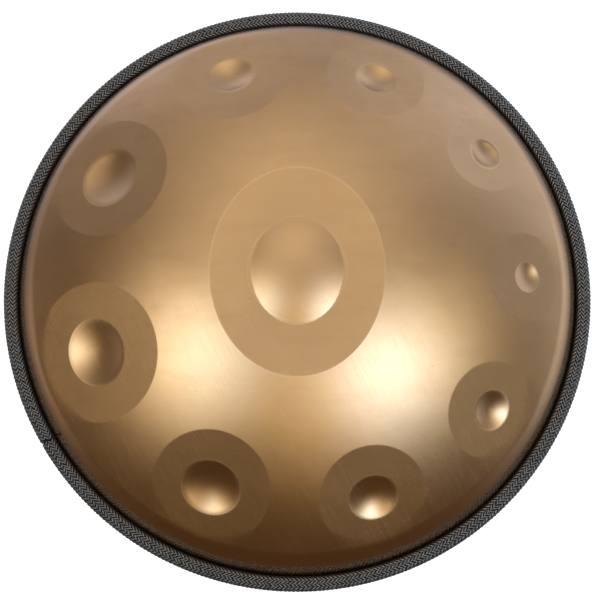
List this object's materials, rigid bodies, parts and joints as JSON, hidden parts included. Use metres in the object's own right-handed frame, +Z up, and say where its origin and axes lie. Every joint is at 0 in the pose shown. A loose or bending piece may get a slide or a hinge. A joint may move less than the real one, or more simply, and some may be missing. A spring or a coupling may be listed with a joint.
{
  "type": "handpan",
  "caption": "Lens-shaped hand-played steel drum with a raised centre note, a ring of dimpled tone fields, a round port underneath and a braided rope trim on the rim.",
  "frame": {"origin": "centre of the instrument's footprint, on the surface it rests on", "axes": "+Z up through the ding, +X towards the smallest tone field, +Y away from the player's right-hand low field"},
  "size_m": [0.5598, 0.5598, 0.224],
  "materials": {
    "top_steel": "satin bronze-gold heat colour, finely brushed",
    "bottom_steel": "satin bronze-gold heat colour, finely brushed",
    "adhesive": "cured dark adhesive",
    "edge_rubber": "matt black rubber",
    "rope_filling": "soft grey filler yarn",
    "rope_braid": "charcoal diagonal braid"
  },
  "bodies": {
    "root": {"top_shell": "top_steel", "bottom_shell": "bottom_steel", "bond_ring": "adhesive", "edge_channel": "edge_rubber", "rope_core": "rope_filling", "rope_sheath": "rope_braid"}
  },
  "joints": []
}
